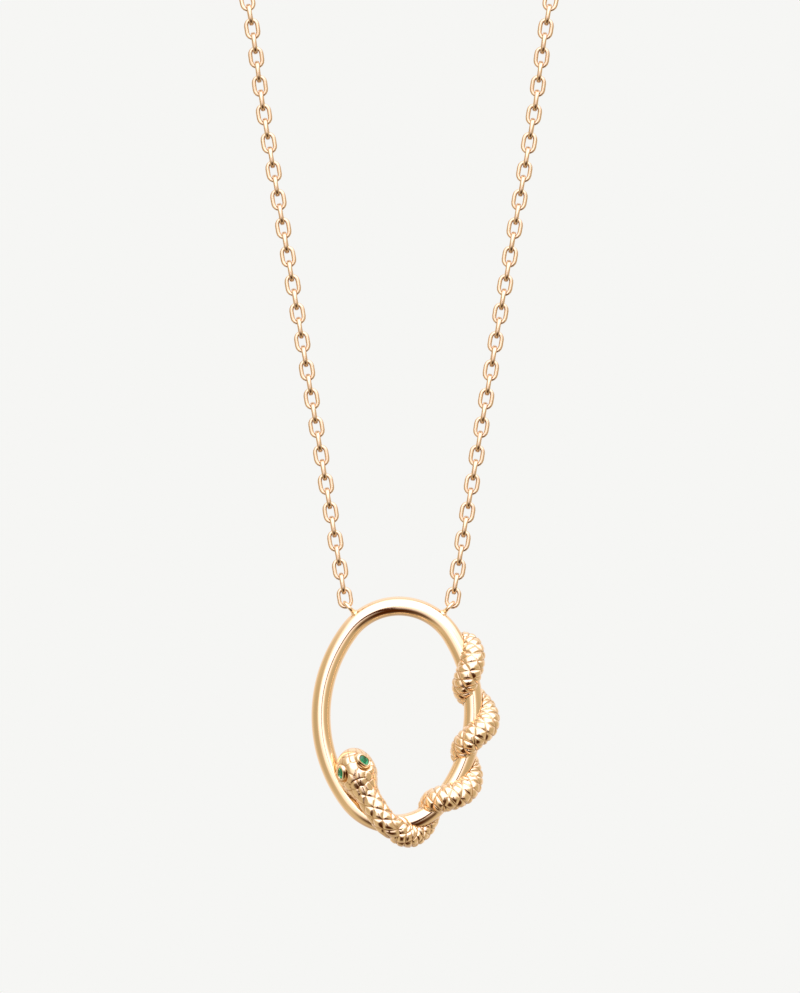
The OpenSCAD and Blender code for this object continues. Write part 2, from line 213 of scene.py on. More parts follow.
# Route of the right half of the chain from the end link to the nape: x, y, z from the nape
ROUTE = [
    (10.03, -108, -73.1), (12.83, -108, -56.5), (15.27, -108, -42), (21, -105, -29),
    (31.5, -96, -19.5), (42.5, -80, -14), (49, -61, -10), (50, -41, -7), (42.5, -20.5, -4),
    (27, -6, -1.5), (10, -0.6, 0),
]
CHAIN_FROM_LINK = 0.3
ROUTE_STEP = 0.02
CLASP_R = 2.0
CLASP_WIRE_R = 0.45
CLASP_EYE_R = 0.6
CLASP_EYE_WIRE_R = 0.2
CLASP_EYE_X = 3.15

# Added to the end of a range with even steps, so that the range holds its end too
SLIVER = 1e-9


# Meshes
def make_piece(name, points, faces, body, replaces, smooth=True, values=None):
    """A mesh piece from points in mm, riding on a body and standing for a CAD node. The values say how
    much painted shade each point takes, by its nearness to a crease or a collar's foot."""
    mesh = bpy.data.meshes.new(name)
    mesh.from_pydata((np.asarray(points) * MM).tolist(), [], [list(map(int, f)) for f in faces])
    mesh.validate()
    if values is not None:
        layer = mesh.attributes.new("crease", "FLOAT", "POINT")
        layer.data.foreach_set("value", np.asarray(values, np.float32))
    if smooth:
        mesh.shade_smooth()
    mesh.update()
    obj = bpy.data.objects.new(name, mesh)
    bpy.context.scene.collection.objects.link(obj)
    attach(obj, body)
    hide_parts(replaces)
    return obj


class Shape:
    """Points and faces of several closed surfaces, gathered for one piece."""

    def __init__(self):
        self.points = []
        self.faces = []

    def add(self, points, faces):
        base = sum(len(p) for p in self.points)
        self.points.append(np.asarray(points, float).reshape(-1, 3))
        self.faces.extend([tuple(base + i for i in f) for f in faces])

    def piece(self, name, body, replaces, place=0):
        """All of it as one piece, moved by place."""
        points = np.concatenate(self.points) + place
        return make_piece(name, points, self.faces, body, replaces)


def grid_faces(rings, n, closed):
    """Faces of a tube of rings with n points each; closed joins the last ring to the first."""
    faces = []
    for i in range(rings if closed else rings - 1):
        a = i * n
        b = ((i + 1) % rings) * n
        for j in range(n):
            k = (j + 1) % n
            faces.append((a + j, a + k, b + k, b + j))
    return faces


def lidded_faces(rings, n):
    """Faces of a tube of rings with n points each, and of a lid on either end."""
    last = (rings - 1) * n
    return grid_faces(rings, n, False) + [tuple(range(n))[::-1], tuple(range(last, last + n))]


def hoop(path, tangents, up, wire_r, n):
    """Round wire along a closed path that is square to up, with n points round the wire."""
    sides = unit(np.cross(tangents, up))
    ups = unit(np.cross(sides, tangents))
    a = circle(n)[None, :, None]
    sideward = wire_r * np.cos(a) * sides[:, None, :]
    upward = wire_r * np.sin(a) * ups[:, None, :]
    return path[:, None, :] + sideward + upward, grid_faces(len(path), n, True)


def round_loop(centre, u, v, radius, wire_r, steps, n):
    """A circle of round wire in the plane of u and v, with steps along it and n points round it."""
    a = circle(steps)[:, None]
    path = centre + radius * (np.cos(a) * u + np.sin(a) * v)
    tangents = -np.sin(a) * u + np.cos(a) * v
    return hoop(path, tangents, np.cross(u, v), wire_r, n)


def soft_square(a, power):
    """Points at the angles a on a curve between a circle and a square that is 2 wide."""
    c = np.cos(a)
    s = np.sin(a)
    k = (np.abs(c) ** power + np.abs(s) ** power) ** (-1 / power)
    return k * c, k * s


# The oval's middle line
def oval_arcs(pick):
    """Centre x, centre z and radius of the arc picked: 0 top, 1 right side, 2 low, 3 left side."""
    arcs = np.array([(*TOP_C, TOP_R), (*RIGHT_C, SIDE_R), (*LOW_C, LOW_R), (*LEFT_C, SIDE_R)])
    row = arcs[pick]
    return row[..., 0], row[..., 1], row[..., 2]


def oval_point(angle):
    """Point of the oval whose outward direction is the angle, from -180 to 180 degrees."""
    angle = np.asarray(angle, float)
    left = (angle > 180 - LEFT_JOIN) | (angle < LEFT_JOIN - 180)
    pick = np.where(left, 3, np.where(angle > TOP_JOIN, 0, np.where(angle > -LOW_JOIN, 1, 2)))
    cx, cz, r = oval_arcs(pick)
    a = np.radians(angle)
    return np.stack([cx + r * np.cos(a), 0 * a, cz + r * np.sin(a)], axis=-1)


def oval_near(p):
    """Nearest point of the oval's middle line, and its outward direction."""
    x = p[..., 0]
    z = p[..., 2]
    right_a = np.degrees(np.arctan2(z - RIGHT_C[1], x - RIGHT_C[0]))
    left_a = np.degrees(np.arctan2(z - LEFT_C[1], LEFT_C[0] - x))
    right = (right_a < TOP_JOIN) & (right_a > -LOW_JOIN)
    pick = np.where(right, 1, np.where(np.abs(left_a) < LEFT_JOIN, 3, np.where(z > 0, 0, 2)))
    cx, cz, r = oval_arcs(pick)
    size = np.hypot(x - cx, z - cz)
    nx = (x - cx) / size
    nz = (z - cz) / size
    zero = np.zeros_like(nx)
    near = np.stack([cx + r * nx, zero, cz + r * nz], axis=-1)
    return near, np.stack([nx, zero, nz], axis=-1)


# The snake's track
def make_track():
    """Rows of the track: place, direction of the back, and body radius."""
    first = WINDING[0][0]
    turns = np.arange(first, WINDING[-1][0] + 1, WIND_STEP)
    rows = smooth_rows(WINDING, (turns - first) / WINDING_EVERY)
    q = oval_point(rows[:, 1])
    a = np.radians(turns)[:, None]
    w = np.radians(rows[:, 1])
    out = np.stack([np.cos(w), np.zeros_like(w), np.sin(w)], axis=1)
    back = np.cos(a) * out + np.sin(a) * FRONT
    wound = np.concatenate([q + WIND_R * back + rows[:, 3:4] * out, back, rows[:, 2:3]], axis=1)
    roll = math.radians(HEAD_ROLL)
    crown = math.cos(roll) * FRONT - math.sin(roll) * HEAD_SIDE
    neck = []
    for i, place in enumerate(NECK):
        f = min(1, i / NECK_TURNED_BY)
        neck.append(np.concatenate([place, unit((1 - f) * FRONT + f * crown), [NECK_R]]))
    return np.concatenate([wound, np.array(neck)])


TRACK = make_track()
TRACK_T = np.arange(0, len(TRACK) - 1 + SLIVER, TRACK_STEP)
FINE_TRACK = smooth_rows(TRACK, TRACK_T)
TRACK_RUNS = runs(FINE_TRACK[:, :3] + FINE_TRACK[:, 6:7] * FINE_TRACK[:, 3:6])
TRACK_L = TRACK_RUNS[-1]


def track_at(s):
    """Row of the track at the length s along the back."""
    return smooth_rows(TRACK, np.interp(s, TRACK_RUNS, TRACK_T))


def track_frame(s):
    """Place, forward, back and side directions, and body radius at the length s."""
    s = np.atleast_1d(np.asarray(s, float))
    ahead = 0.05
    rows = track_at(s)
    fwd = unit(track_at(np.minimum(s + ahead, TRACK_L))[:, :3] - track_at(np.maximum(s - ahead, 0))[:, :3])
    raw = rows[:, 3:6]
    back = unit(raw - dot(raw, fwd) * fwd)
    return rows[:, :3], fwd, back, np.cross(fwd, back), rows[:, 6]


def head_line(d, full, full_at, late=1.0):
    """Profile of the head: it swells to full at full_at behind the snout and falls to the neck's radius,
    the later the larger late is."""
    near = full * np.sqrt(np.clip(1 - np.clip(1 - d / full_at, 0, 1) ** SNOUT_POWER, 0, 1))
    fall = np.clip((d - full_at) / (HEAD_L - full_at), 0, 1) ** late
    return np.where(d < full_at, near, NECK_R + (full - NECK_R) * (1 + np.cos(np.pi * fall)) / 2)


# Scales on the body. Those of the loops are wider than those of the neck, and the two kinds meet behind
# the wire. A scale falls from its middle to its edge, with a narrow crease round it. The crease gets
# painted shade, which starts a little sooner than its depth.
SCALE_L = 1.28
LOOP_SCALES = 4
NECK_SCALES = 5
LOOP_SHIFT = 0.2
NECK_SCALES_TURN = 990
SCALE_H = 0.15
SCALE_POWER = 2.8
CREASE_DEEP = 0.02
CREASE_FROM = 0.88
SHADE_FROM = 0.86


def scales(s, angle):
    """Depth below the middle of a four-sided scale, and nearness to the crease round it, which sets the
    painted shade there.
    """
    change = np.interp((NECK_SCALES_TURN - WINDING[0][0]) / WIND_STEP, TRACK_T, TRACK_RUNS)
    v = s / SCALE_L
    fade = np.clip(v - round(change / SCALE_L) + 0.5, 0, 1)
    drop = 0
    crease = 0
    for share, around, shift in ((1 - fade, LOOP_SCALES, LOOP_SHIFT), (fade, NECK_SCALES, 0)):
        u = angle * around / 360
        p = np.abs(2 * ((u + v + shift) % 1) - 1)
        q = np.abs(2 * ((u - v - shift) % 1) - 1)
        m = np.maximum(p, q)
        drop = drop + share * (SCALE_H * m**SCALE_POWER + CREASE_DEEP * smoothstep(CREASE_FROM, 1, m))
        # Painted shade in the crease round the scale
        crease = crease + share * smoothstep(SHADE_FROM, 1, m)
    return drop, crease


# Plates on the head: distance behind the snout, distance round the head from the crown's middle line,
# half length and half width
CROWN_PLATES = [(1.95, 0.05, 0.8, 0.5), (4.5, 0.05, 0.42, 0.36)]
PAIRED_PLATES = [
    (0.22, 0.42, 0.3, 0.4), (0.85, 0.36, 0.38, 0.36), (2.72, 0.55, 0.62, 0.46), (3.65, 0.38, 0.4, 0.38),
    (4.38, 0.74, 0.4, 0.38), (3.35, 1.24, 0.5, 0.4), (1.6, 1.42, 0.62, 0.6), (0.75, 1.12, 0.42, 0.4),
    (4.2, 1.45, 0.46, 0.4), (2.75, 1.95, 0.5, 0.44), (3.65, 2.1, 0.48, 0.42), (5.0, 0.42, 0.34, 0.36),
    (4.95, 1.15, 0.36, 0.36), (0.55, 1.9, 0.5, 0.46), (1.3, 2.4, 0.5, 0.46), (2.2, 2.65, 0.52, 0.46),
    (3.1, 2.85, 0.55, 0.48), (0.45, 2.9, 0.5, 0.5), (1.3, 3.3, 0.55, 0.5), (2.2, 3.6, 0.6, 0.52),
    (4.05, 2.9, 0.5, 0.5), (3.1, 3.9, 0.6, 0.55), (1.2, 4.2, 0.6, 0.6), (2.2, 4.7, 0.6, 0.6),
    (4.85, 1.9, 0.4, 0.4), (4.0, 3.8, 0.5, 0.5),
]
PLATES = np.array(CROWN_PLATES + PAIRED_PLATES + [(d, -w, a, b) for d, w, a, b in PAIRED_PLATES])
PLATE_H = 0.05
PLATE_DOME = 0.035
PLATE_REACH = 1.2
PLATE_GROOVE = 0.26
# Width of a place round the head, as a share of that on a circle
ARC_SHARE = 0.93
# Plates reach this far behind the snout and fade to scales, and grow out of a smooth snout
PLATES_TO = 4.5
SCALES_FROM = 5.1
SNOUT_BLEND = 0.5

# Mouth: a groove on both sides, its angle from the crown and its spread in degrees, its depth, and where
# behind the snout it starts and ends
MOUTH_ANGLE = 118
MOUTH_SPREAD = 3.5
MOUTH_DEEP = 0.07
MOUTH_START = (0.02, 0.3)
MOUTH_END = (3.2, 3.7)


def plate_field(d, w):
    """How far a place on the head is inside its plate's groove, 0 in the groove and 1 well inside, and how
    far out on the plate it is, 1 at the plate's outline."""
    best = np.full(d.shape, np.inf)
    second = np.full(d.shape, np.inf)
    for d0, w0, half_l, half_w in PLATES:
        far = np.sqrt(((d - d0) / half_l) ** 2 + ((w - w0) / half_w) ** 2)
        second = np.minimum(second, np.maximum(best, far))
        best = np.minimum(best, far)
    return np.clip((second - best) / PLATE_GROOVE, 0, 1), best


def mouth_groove(d, angle):
    """Nearness to the middle of the mouth's groove, from 0 to 1."""
    near = np.exp(-(((np.abs(angle) - MOUTH_ANGLE) / MOUTH_SPREAD) ** 2))
    return near * (1 - smoothstep(*MOUTH_END, d)) * smoothstep(*MOUTH_START, d)


def snake_relief(s, angles, half_w, tail):
    """Height of scales, plates and mouth over the plain body, and how much painted shade each point takes,
    by its nearness to a crease, a groove or the mouth.
    """
    d = TRACK_L - s
    signed = (angles + 180) % 360 - 180
    scale_drop, scale_shade = scales(s, angles)
    inside, out = plate_field(d, np.radians(signed) * half_w * ARC_SHARE)
    groove = 1 - smoothstep(0, 1, inside)
    plate_relief = -PLATE_H * groove - PLATE_DOME * np.clip(out, 0, PLATE_REACH) ** 2
    plate_relief = plate_relief * np.clip(d / SNOUT_BLEND, 0, 1)
    plated = 1 - smoothstep(PLATES_TO, SCALES_FROM, d)
    relief = (1 - plated) * (-scale_drop * tail) + plated * plate_relief
    crease = (1 - plated) * scale_shade + plated * groove
    mouth = mouth_groove(d, signed)
    return relief - MOUTH_DEEP * mouth, np.maximum(crease, mouth)


# Round the eyes, no further behind the snout than EYES_REACH, the head sinks to flat seats. A band of
# painted shade runs round a collar's foot, which lies FOOT_OUT from the stone's edge. The band lies at a
# share of the foot's own distance, and only where the head is more than FOOT_LOW from its middle line.
EYES_REACH = 3.5
SEAT_FLAT_R = 0.72
SEAT_EDGE_R = 1.15
FOOT_OUT = 0.28
FOOT_LOW = 0.8
FOOT_SHADE_AT = 1.05
FOOT_SHADE_SPREAD = 0.09


def eye_axes(way):
    """Place on the head's middle line of the left eye, way -1, or the right one, way 1, and the eye's axes:
    along the stone, across it, and outward."""
    s = TRACK_L - EYES_AT + way * EYES_APART / 2
    place, fwd, back, side = [v[0] for v in track_frame(s)[:4]]
    a = math.radians(EYE_ANGLE)
    z = math.cos(a) * back + way * math.sin(a) * side
    ahead = unit(fwd - np.dot(fwd, z) * z)
    slant = math.radians(EYE_SLANT)
    x = math.cos(slant) * ahead + way * math.sin(slant) * np.cross(z, ahead)
    return place, x, np.cross(z, x), z


def sunk_to_seat(p, place, direction):
    """Lowers the head's surface smoothly round an eye to the seat of its collar."""
    w = p - place
    over = dot(w, direction) - SETTING_SEAT
    away = np.linalg.norm(w - dot(w, direction) * direction, axis=-1, keepdims=True)
    keep = smoothstep(SEAT_FLAT_R, SEAT_EDGE_R, away)
    return np.where(over > 0, p - (over * (1 - keep)) * direction, p)


def foot_shade(rel, x, y, z):
    """Painted shade round a collar's foot: nearness to its band, of points rel from the eye's place."""
    along = dot(rel, x) / (STONE_L / 2 + FOOT_OUT)
    across = dot(rel, y) / (STONE_W / 2 + FOOT_OUT)
    foot = np.sqrt(along**2 + across**2)
    near = np.exp(-(((foot - FOOT_SHADE_AT) / FOOT_SHADE_SPREAD) ** 2))
    return np.where(dot(rel, z) > FOOT_LOW, near, 0)


# The snake's surface
def seated(points, back, place):
    """Lifts and pushes surface points until they clear the ring's wire."""
    clear = WIRE_R + SEAT_GAP
    q, out = oval_near(place)
    along = np.cross(out, FRONT)[:, None, :]
    q = q[:, None, :]
    up = back[:, None, :]
    w = points - q - dot(points - q, along) * along
    u = up - dot(up, along) * along
    # The lift t along the back's direction solves a * t**2 + 2 * b * t + c = 0.
    a = dot(u, u)
    b = dot(w, u)
    c = dot(w, w) - clear**2
    free = (c >= 0) | (b * b < a * c)
    lift = (np.sqrt(np.clip(b * b - a * c, 0, None)) - b) / a
    points = np.where(free, points, points + up * lift)
    near, _ = oval_near(points)
    gap = points - near
    size = np.linalg.norm(gap, axis=-1, keepdims=True)
    return np.where(size < clear, near + gap * (clear / np.maximum(size, 1e-6)), points)


def snake_points(s, angles):
    """Surface points of the snake, one ring for each length s, and how much painted shade each takes, by
    its nearness to a crease or a collar's foot.
    """
    place, _, back, side, radius = track_frame(s)
    a = np.radians(angles)[None, :]
    s2 = s[:, None] + 0 * a
    d = TRACK_L - s2
    on_head = d < HEAD_L
    tail = np.sqrt(np.clip(1 - np.clip(1 - s2 / TAIL_L, 0, 1) ** 2, 0, 1))
    half_w = np.where(on_head, head_line(d, HEAD_HALF_W, WIDEST_AT), radius[:, None] * tail)
    headness = np.where(on_head, np.minimum(1, (HEAD_L - d) / NECK_BLEND), 0)
    least_w = 0.01
    crown_share = head_line(d, CROWN_H, HIGHEST_AT, CROWN_FALL) / np.maximum(half_w, least_w)
    share = np.where(on_head & (np.cos(a) > 0), crown_share, 1 + headness * (JAW_SHARE - 1))
    relief, crease = snake_relief(s2, angles[None, :], half_w, tail)

    upward = (share * np.cos(a))[..., None] * back[:, None, :]
    sideward = np.sin(a)[..., None] * side[:, None, :]
    points = place[:, None, :] + (half_w + relief)[..., None] * (upward + sideward)
    near_eyes = (d < EYES_REACH)[..., None]
    for way in (-1, 1):
        eye, x, y, z = eye_axes(way)
        points = np.where(near_eyes, sunk_to_seat(points, eye, z), points)
        # Painted shade in a band round the collar's foot
        under = np.where(near_eyes, foot_shade(points - eye, x, y, z), 0)
        crease = np.maximum(crease, under[..., 0])
    return seated(points, back, place), crease


def snake_rings():
    """Lengths of the snake's rings: even on the body, closer on the head, and closest at both ends."""
    rings_a_scale = 14
    rings_an_end = 8
    step = SCALE_L / rings_a_scale
    head_step = 0.05
    tail_end = 0.3
    snout_end = 0.25
    even_end = 0.27
    ends = (np.arange(1, rings_an_end + 1) / rings_an_end) ** 2
    body = np.arange(tail_end + step, TRACK_L - HEAD_L, step)
    head = np.arange(body[-1] + head_step, TRACK_L - even_end, head_step)
    return np.concatenate([ends * tail_end, body, head, TRACK_L - ends[::-1] * snout_end])


def snake_piece():
    n = 120
    s = snake_rings()
    points, crease = snake_points(s, np.arange(n) * 360 / n)
    tail_tip = len(s) * n
    snout_tip = tail_tip + 1
    last = (len(s) - 1) * n
    faces = [f[::-1] for f in grid_faces(len(s), n, False)]
    faces += [(j, (j + 1) % n, tail_tip) for j in range(n)]
    faces += [(last + (j + 1) % n, last + j, snout_tip) for j in range(n)]
    tips = np.stack([points[0].mean(axis=0), track_at(TRACK_L)[0, :3]])
    surface = np.concatenate([points.reshape(-1, 3), tips]) + PENDANT
    values = np.concatenate([crease.ravel(), [0, 0]])
    return make_piece("snake_body", surface, faces, "pendant", "snake", values=values)


# Ring and eyelets
# Solder under an eyelet: height above the ring's surface, half width across it and half depth
SOLDER = [
    (-0.3, 0.62, 0.6), (-0.12, 0.5, 0.52), (0.0, 0.38, 0.44), (0.08, 0.3, 0.37), (0.17, 0.25, 0.31),
    (0.3, 0.21, 0.25), (0.42, 0.16, 0.19), (0.48, 0.04, 0.06),
]


def solder(foot, up):
    """Small flared foot of solder under an eyelet."""
    rings = 22
    n = 28
    high, half_w, half_d = fine_rows(SOLDER, rings).T[:, :, None, None]
    a = circle(n)[None, :, None]
    across = np.cross(up, FRONT)
    points = foot + high * up + half_w * np.cos(a) * across + half_d * np.sin(a) * FRONT
    return points, lidded_faces(rings, n)


def ring_piece():
    per_arc = 90
    shape = Shape()
    joins = [-LOW_JOIN, TOP_JOIN, 180 - LEFT_JOIN, 180 + LEFT_JOIN, 360 - LOW_JOIN]
    parts = [np.linspace(a, b, per_arc, endpoint=False) for a, b in zip(joins, joins[1:])]
    angles = np.concatenate(parts)
    path = oval_point((angles + 180) % 360 - 180)
    r = np.radians(angles)
    tangents = np.stack([-np.sin(r), 0 * r, np.cos(r)], axis=1)
    shape.add(*hoop(path, tangents, FRONT, WIRE_R, n=112))
    for way in (1, -1):
        mirrored = np.array([way, 1, 1])
        lean = EYELET_DIR * mirrored
        shape.add(*round_loop(EYELET_C * mirrored, lean, FRONT, EYELET_R, EYELET_WIRE_R, steps=72, n=18))
        shape.add(*solder(EYELET_FOOT * mirrored, lean))
    return shape.piece("oval_ring", "pendant", "ring", PENDANT)


# Links and clasp
# Distance from one link to the next, the straight run before the chain starts to twist, how far a link
# is turned by chance in degrees, and the play of the last link in the clasp's eye
LINK_PITCH = 1.386
STRAIGHT_L = 60.0
LINK_LOOSE = 2.5
CLASP_PLAY = 0.05


def link_mesh(side_half, end_half, flat_half, power, n, bend_steps):
    """A link about the origin, its plane's normal along y and its length along z. The wire's half
    thickness in the plane goes from side_half on the sides to end_half at the ends."""
    bend_x = LINK_W / 2 - side_half
    straight = (LINK_L - LINK_W) / 2
    bend_z = LINK_L / 2 - end_half - straight
    a = np.pi * np.arange(bend_steps + 1) / bend_steps
    bend = np.stack([bend_x * np.cos(a), 0 * a, straight + bend_z * np.sin(a)], axis=1)
    path = np.concatenate([bend, [[-bend_x, 0, 0]], -bend, [[bend_x, 0, 0]]])
    tangent = unit(np.roll(path, -1, axis=0) - np.roll(path, 1, axis=0))
    at_end = np.concatenate([np.sin(a) ** 2, [0], np.sin(a) ** 2, [0]])[:, None, None]
    side = unit(np.cross(tangent, FRONT))[:, None, :]
    half = side_half + (end_half - side_half) * at_end
    wide, high = [v[None, :, None] for v in soft_square(circle(n), power)]
    points = path[:, None, :] + half * wide * side + flat_half * high * FRONT
    return points.reshape(-1, 3), grid_faces(len(path), n, True)


def placed(points, centre, along, normal):
    """Points of a link moved to its centre, its length and its plane's normal laid as given."""
    side = np.cross(normal, along)
    return centre + points[:, :1] * side + points[:, 1:2] * normal + points[:, 2:] * along


def end_link_piece(way, name, node):
    points, faces = link_mesh(LINK_WIRE_R, LINK_WIRE_R, LINK_WIRE_R, power=2.2, n=16, bend_steps=14)
    mirrored = np.array([way, 1, 1])
    points = placed(points, (PENDANT + END_LINK_C) * mirrored, CHAIN_UP * mirrored, FRONT)
    return make_piece(name, points, faces, "chain", node)


def chain_curve(way):
    """Points of the chain's middle line from the end link's centre to the middle of the last link."""
    start = PENDANT + END_LINK_C
    chain_start = start + (LINK_L / 2 + CHAIN_FROM_LINK) * CHAIN_UP
    eye_end = CLASP_EYE_X + CLASP_EYE_R - CLASP_EYE_WIRE_R
    last = (eye_end + LINK_L / 2 - 2 * LINK_WIRE_R - CLASP_PLAY, 0, 0)
    rows = np.array([chain_start, *ROUTE, last])
    fine = smooth_rows(rows, np.arange(0, len(rows) - 1 + SLIVER, ROUTE_STEP))
    return np.concatenate([[start], fine]) * [way, 1, 1]


def carried_normals(along):
    """Normals that follow the chain's directions without a twist, the first one to the front."""
    normals = [FRONT]
    for direction in along[1:]:
        n = normals[-1] - np.dot(normals[-1], direction) * direction
        normals.append(n / np.linalg.norm(n))
    return np.array(normals)


def twist_to(target, along, normal):
    """Smallest turn about along that lays the normal on the target's line, in radians."""
    twist = math.atan2(np.dot(target, np.cross(along, normal)), np.dot(target, normal))
    return (twist + math.pi / 2) % math.pi - math.pi / 2


def chain_piece(way, name, node):
    fine = chain_curve(way)
    length = runs(fine)
    total = length[-1]

    def at(x):
        return np.stack([np.interp(x, length, fine[:, k]) for k in range(3)], axis=-1)

    # The count is odd, so that the last link is not turned a quarter, like the first.
    count = int(round(total / LINK_PITCH)) + 1
    count += 1 - count % 2
    s = np.arange(count) * (total / (count - 1))
    centres = at(s)
    reach = 0.6
    along = unit(at(np.minimum(s + reach, total)) - at(np.maximum(s - reach, 0)))
    normals = carried_normals(along)
    # The last link lies in the upright plane through the clasp, so the hidden stretch twists a little.
    twist = twist_to(-FRONT, along[-1], normals[-1])
    share = np.clip((s - STRAIGHT_L) / (total - STRAIGHT_L), 0, 1)
    link, faces = link_mesh(side_half=0.21, end_half=0.17, flat_half=0.22, power=3.4, n=12, bend_steps=8)
    shape = Shape()
    rng = np.random.default_rng(7 if way > 0 else 8)
    for k in range(1, count):
        quarter = math.pi / 2 if k % 2 else 0
        turn = twist * share[k] + quarter + math.radians(rng.uniform(-LINK_LOOSE, LINK_LOOSE))
        n = math.cos(turn) * normals[k] + math.sin(turn) * np.cross(along[k], normals[k])
        shape.add(placed(link, centres[k], along[k], n), faces)
    return shape.piece(name, "chain", node)


def clasp_piece():
    x_dir, y_dir, z_dir = np.eye(3)
    shape = Shape()
    shape.add(*round_loop(np.zeros(3), x_dir, z_dir, CLASP_R, CLASP_WIRE_R, steps=96, n=28))
    for way in (1, -1):
        centre = way * CLASP_EYE_X * x_dir
        shape.add(*round_loop(centre, x_dir, y_dir, CLASP_EYE_R, CLASP_EYE_WIRE_R, steps=96, n=16))
    return shape.piece("clasp_ring", "chain", "clasp")


# Eyes
# Collar round a stone: distance out from the stone's edge, and height above the head's seat
COLLAR = [
    (-0.07, 0.02), (-0.03, 0.16), (0.0, 0.25), (0.035, 0.3), (0.09, 0.315), (0.15, 0.29), (0.21, 0.23),
    (0.26, 0.14), (0.29, 0.03), (0.3, -0.12),
]
# Stone: heights of its table, crown, girdle, lower facets and point above the head's seat, and the
# share of the whole outline that the narrower of them take
TABLE_HIGH = 0.345
TABLE_SHARE = 0.6
CROWN_HIGH = 0.3
CROWN_SHARE = 0.84
GIRDLE_TOP = 0.235
GIRDLE_LOW = 0.205
LOWER_HIGH = 0.09
LOWER_SHARE = 0.5
POINT_HIGH = 0.03


def stone_outline(grow, n, shift=0.0):
    """Outline of a stone with n points, grown outward by grow and started shift of a step late."""
    x, y = soft_square((np.arange(n) + shift) * 2 * np.pi / n, STONE_POWER)
    normal_x = np.abs(x) ** (STONE_POWER - 1) * np.sign(x) / STONE_L
    normal_y = np.abs(y) ** (STONE_POWER - 1) * np.sign(y) / STONE_W
    edge = np.stack([STONE_L / 2 * x, STONE_W / 2 * y], axis=1)
    return edge + grow * unit(np.stack([normal_x, normal_y], axis=1))


def on_seat(way, outline, high):
    """Points of an outline on the seat of the eye on one side, at a height above it."""
    eye, x, y, z = eye_axes(way)
    return eye + SETTING_SEAT * z + PENDANT + outline[:, :1] * x + outline[:, 1:] * y + high * z


def collar_piece(way, name, node):
    rings = 34
    n = 72
    points = [on_seat(way, stone_outline(grow, n), high) for grow, high in fine_rows(COLLAR, rings)]
    faces = [f[::-1] for f in lidded_faces(rings, n)]
    return make_piece(name, np.concatenate(points), faces, "pendant", node)


def gem_piece(way, name, node):
    n = 8
    rows = [
        (stone_outline(0, n, shift=0.5) * TABLE_SHARE, TABLE_HIGH),
        (stone_outline(0, n) * CROWN_SHARE, CROWN_HIGH),
        (stone_outline(0, 2 * n), GIRDLE_TOP),
        (stone_outline(0, 2 * n), GIRDLE_LOW),
        (stone_outline(0, n, shift=0.5) * LOWER_SHARE, LOWER_HIGH),
        (np.zeros((1, 2)), POINT_HIGH),
    ]
    points = [on_seat(way, outline, high) for outline, high in rows]
    table, crown, top, low, lower, tip = np.cumsum([0] + [len(p) for p in points])[:-1]
    faces = [tuple(table + k for k in range(n))]
    for k in range(n):
        before = (k - 1) % n
        after = (k + 1) % n
        here = 2 * k
        halfway = here + 1
        there = (here + 2) % (2 * n)
        faces.append((table + before, crown + k, table + k))
        faces.append((table + k, crown + k, top + halfway, crown + after))
        faces.append((crown + k, top + here, top + halfway))
        faces.append((crown + after, top + halfway, top + there))
        faces.append((low + there, low + halfway, lower + k))
        faces.append((low + halfway, low + here, lower + k))
        faces.append((low + here, lower + before, lower + k))
        faces.append((lower + before, tip, lower + k))
    for j in range(2 * n):
        k = (j + 1) % (2 * n)
        faces.append((top + j, low + j, low + k, top + k))
    return make_piece(name, np.concatenate(points), faces, "pendant", node, smooth=False)


# Materials
YELLOW = (0.95, 0.73, 0.46)
ROSE = (0.79, 0.59, 0.37)
# Painted shade of the creases, grooves, mouth and collars' feet on the snake
CREASE_SHADE = (0.4, 0.15, 0.02)
# Greens of the stone: painted shade, its own tone and painted gleam
DARK_GREEN = (0.002, 0.07, 0.02, 1)
MID_GREEN = (0.008, 0.26, 0.08, 1)
LIGHT_GREEN = (0.12, 0.62, 0.3, 1)
STONE_IOR = 1.6
STONE_ROUGHNESS = 0.04
# Size of the patches of painted gleam and shade on the stone
GLEAM_SCALE = 3600.0
# Noise of a metal's tone, polish and soft dents: scale, detail and roughness
TONE_NOISE = (140.0, 3.0, 0.5)
POLISH_NOISE = (900.0, 4.0, 0.6)
DENT_NOISE = (420.0, 2.0, 0.45)
TONE_DARKER = 0.94
DENT_DEPTH_M = 0.0004


def node_of(tree, kind, place, **inputs):
    """A node at a place of the tree's sheet, with values for its inputs."""
    node = tree.nodes.new(kind)
    node.location = place
    for name, value in inputs.items():
        node.inputs[name.replace("_", " ")].default_value = value
    return node


def noise(tree, coord, place, scale, detail, roughness):
    """Noise over an object's own places."""
    node = node_of(tree, "ShaderNodeTexNoise", place, Scale=scale, Detail=detail, Roughness=roughness)
    tree.links.new(coord.outputs["Object"], node.inputs["Vector"])
    return node.outputs["Fac"]


def mixed(tree, place, factor, first, second):
    """Colour between the first, which is a colour or a socket, and the second, a colour."""
    node = node_of(tree, "ShaderNodeMix", place)
    node.data_type = "RGBA"
    if isinstance(first, bpy.types.NodeSocket):
        tree.links.new(first, node.inputs["A"])
    else:
        node.inputs["A"].default_value = (*first, 1)
    node.inputs["B"].default_value = (*second, 1)
    tree.links.new(factor, node.inputs["Factor"])
    return node.outputs["Result"]


